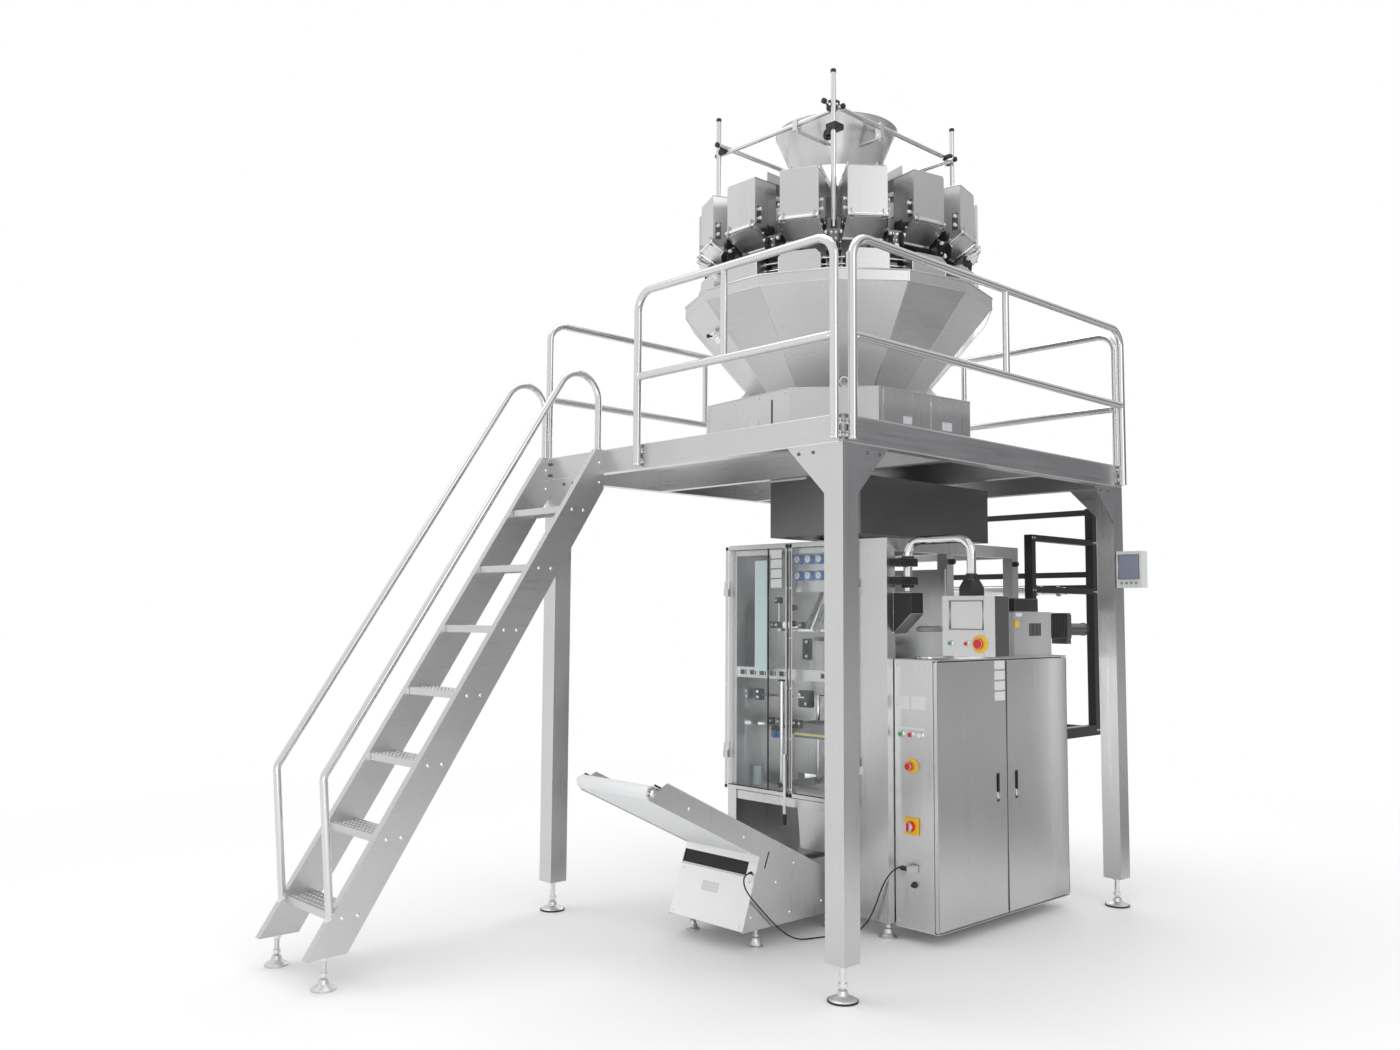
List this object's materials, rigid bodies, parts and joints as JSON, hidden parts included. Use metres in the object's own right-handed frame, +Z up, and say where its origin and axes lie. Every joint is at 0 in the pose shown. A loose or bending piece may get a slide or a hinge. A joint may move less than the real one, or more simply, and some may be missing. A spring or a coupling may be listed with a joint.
{
  "type": "multihead weigher packing machine",
  "caption": "Stainless multihead weigher on a work platform with stair and guard rails, over a vertical bagging machine with control cabinet and inclined take-off conveyor.",
  "frame": {"origin": "on the floor, in the middle of the levelling foot under the front right leg of the platform", "axes": "+Y points to the back of the machine, +X to its right seen from the front, +Z up"},
  "size_m": [2.24, 4.4864, 4.265],
  "materials": {
    "satin_stainless": "satin",
    "polished_tube": "gloss",
    "dark_fittings": "satin",
    "black_plastic": "matte",
    "black_steel": "satin",
    "clear_acrylic": "gloss",
    "pale_belt": "matte"
  },
  "bodies": {
    "machine": {"bag_chute": "satin_stainless", "bagger_frame": "satin_stainless", "bagger_panels": "satin_stainless", "collecting_funnel": "satin_stainless", "control_cabinet": "satin_stainless", "conveyor_base": "satin_stainless", "conveyor_belt": "pale_belt", "conveyor_rollers": "polished_tube", "conveyor_sides": "satin_stainless", "deck_plate": "satin_stainless", "discharge_chute": "satin_stainless", "dispersion_cone": "satin_stainless", "display_box": "satin_stainless", "drive_box": "satin_stainless", "drive_motor": "dark_fittings", "feed_hoppers": "satin_stainless", "feeder_pans": "satin_stainless", "film_pull_belts": "pale_belt", "film_rack": "black_steel", "film_rollers": "polished_tube", "filter_jar": "clear_acrylic", "forming_collar": "polished_tube", "forming_tube": "polished_tube", "frame_rods": "polished_tube", "guard_rails": "polished_tube", "hopper_drives": "dark_fittings", "infeed_cone": "satin_stainless", "level_sensor": "black_plastic", "levelling_feet": "dark_fittings", "platform_frame": "satin_stainless", "platform_legs": "satin_stainless", "rod_clamps": "black_plastic", "seal_jaws": "dark_fittings", "signal_cable": "black_plastic", "stair_handrails": "polished_tube", "stair_stringers": "satin_stainless", "stair_treads": "satin_stainless", "weigh_hoppers": "satin_stainless", "weigher_body": "satin_stainless", "weigher_plinth": "satin_stainless"},
    "feed_gate_01": {"feed_gate_01": "satin_stainless"},
    "feed_gate_02": {"feed_gate_02": "satin_stainless"},
    "feed_gate_03": {"feed_gate_03": "satin_stainless"},
    "feed_gate_04": {"feed_gate_04": "satin_stainless"},
    "feed_gate_05": {"feed_gate_05": "satin_stainless"},
    "feed_gate_06": {"feed_gate_06": "satin_stainless"},
    "feed_gate_07": {"feed_gate_07": "satin_stainless"},
    "feed_gate_08": {"feed_gate_08": "satin_stainless"},
    "feed_gate_09": {"feed_gate_09": "satin_stainless"},
    "feed_gate_10": {"feed_gate_10": "satin_stainless"},
    "feed_gate_11": {"feed_gate_11": "satin_stainless"},
    "feed_gate_12": {"feed_gate_12": "satin_stainless"},
    "feed_gate_13": {"feed_gate_13": "satin_stainless"},
    "feed_gate_14": {"feed_gate_14": "satin_stainless"},
    "bagger_door_left": {"bagger_door_left": "clear_acrylic"},
    "bagger_door_right": {"bagger_door_right": "clear_acrylic"},
    "cabinet_door_front": {"cabinet_door_front": "satin_stainless"},
    "cabinet_door_rear": {"cabinet_door_rear": "satin_stainless"},
    "swing_arm": {"panel_arm": "polished_tube"},
    "operator_panel": {"operator_panel": "satin_stainless"}
  },
  "joints": [
    {"name": "feed_gate_01_hinge", "type": "hinge", "parent": "machine", "child": "feed_gate_01", "pos_m": [-0.975, 0.385, 3.485], "axis": [-1, 0, 0], "range_deg": [0, 45]},
    {"name": "feed_gate_02_hinge", "type": "hinge", "parent": "machine", "child": "feed_gate_02", "pos_m": [-0.64525, 0.46026, 3.485], "axis": [-0.901, -0.4339, 0], "range_deg": [0, 45]},
    {"name": "feed_gate_03_hinge", "type": "hinge", "parent": "machine", "child": "feed_gate_03", "pos_m": [-0.38081, 0.67115, 3.485], "axis": [-0.6235, -0.7818, 0], "range_deg": [0, 45]},
    {"name": "feed_gate_04_hinge", "type": "hinge", "parent": "machine", "child": "feed_gate_04", "pos_m": [-0.23405, 0.97588, 3.485], "axis": [-0.2225, -0.9749, 0], "range_deg": [0, 45]},
    {"name": "feed_gate_05_hinge", "type": "hinge", "parent": "machine", "child": "feed_gate_05", "pos_m": [-0.23405, 1.31412, 3.485], "axis": [0.2225, -0.9749, 0], "range_deg": [0, 45]},
    {"name": "feed_gate_06_hinge", "type": "hinge", "parent": "machine", "child": "feed_gate_06", "pos_m": [-0.38081, 1.61885, 3.485], "axis": [0.6235, -0.7818, 0], "range_deg": [0, 45]},
    {"name": "feed_gate_07_hinge", "type": "hinge", "parent": "machine", "child": "feed_gate_07", "pos_m": [-0.64525, 1.82974, 3.485], "axis": [0.901, -0.4339, 0], "range_deg": [0, 45]},
    {"name": "feed_gate_08_hinge", "type": "hinge", "parent": "machine", "child": "feed_gate_08", "pos_m": [-0.975, 1.905, 3.485], "axis": [1, 0, 0], "range_deg": [0, 45]},
    {"name": "feed_gate_09_hinge", "type": "hinge", "parent": "machine", "child": "feed_gate_09", "pos_m": [-1.30475, 1.82974, 3.485], "axis": [0.901, 0.4339, 0], "range_deg": [0, 45]},
    {"name": "feed_gate_10_hinge", "type": "hinge", "parent": "machine", "child": "feed_gate_10", "pos_m": [-1.56919, 1.61885, 3.485], "axis": [0.6235, 0.7818, 0], "range_deg": [0, 45]},
    {"name": "feed_gate_11_hinge", "type": "hinge", "parent": "machine", "child": "feed_gate_11", "pos_m": [-1.71595, 1.31412, 3.485], "axis": [0.2225, 0.9749, 0], "range_deg": [0, 45]},
    {"name": "feed_gate_12_hinge", "type": "hinge", "parent": "machine", "child": "feed_gate_12", "pos_m": [-1.71595, 0.97588, 3.485], "axis": [-0.2225, 0.9749, 0], "range_deg": [0, 45]},
    {"name": "feed_gate_13_hinge", "type": "hinge", "parent": "machine", "child": "feed_gate_13", "pos_m": [-1.56919, 0.67115, 3.485], "axis": [-0.6235, 0.7818, 0], "range_deg": [0, 45]},
    {"name": "feed_gate_14_hinge", "type": "hinge", "parent": "machine", "child": "feed_gate_14", "pos_m": [-1.30475, 0.46026, 3.485], "axis": [-0.901, 0.4339, 0], "range_deg": [0, 45]},
    {"name": "bagger_door_left_hinge", "type": "hinge", "parent": "machine", "child": "bagger_door_left", "pos_m": [-1.517, 0.83, 1.24], "axis": [0, 0, -1], "range_deg": [0, 100]},
    {"name": "bagger_door_right_hinge", "type": "hinge", "parent": "machine", "child": "bagger_door_right", "pos_m": [-0.59, 0.83, 1.24], "axis": [0, 0, 1], "range_deg": [0, 100]},
    {"name": "cabinet_door_front_hinge", "type": "hinge", "parent": "machine", "child": "cabinet_door_front", "pos_m": [-0.172, 0.903, 0.694], "axis": [0, 0, -1], "range_deg": [0, 110]},
    {"name": "cabinet_door_rear_hinge", "type": "hinge", "parent": "machine", "child": "cabinet_door_rear", "pos_m": [-0.172, 2.082, 0.694], "axis": [0, 0, 1], "range_deg": [0, 110]},
    {"name": "swing_arm_pivot", "type": "hinge", "parent": "machine", "child": "swing_arm", "pos_m": [-0.378, 0.965, 1.84], "axis": [0, 0, 1], "range_deg": [-80, 25]},
    {"name": "operator_panel_pivot", "type": "hinge", "parent": "swing_arm", "child": "operator_panel", "pos_m": [-0.013, 0.965, 1.7], "axis": [0, 0, 1], "range_deg": [-40, 40]}
  ]
}
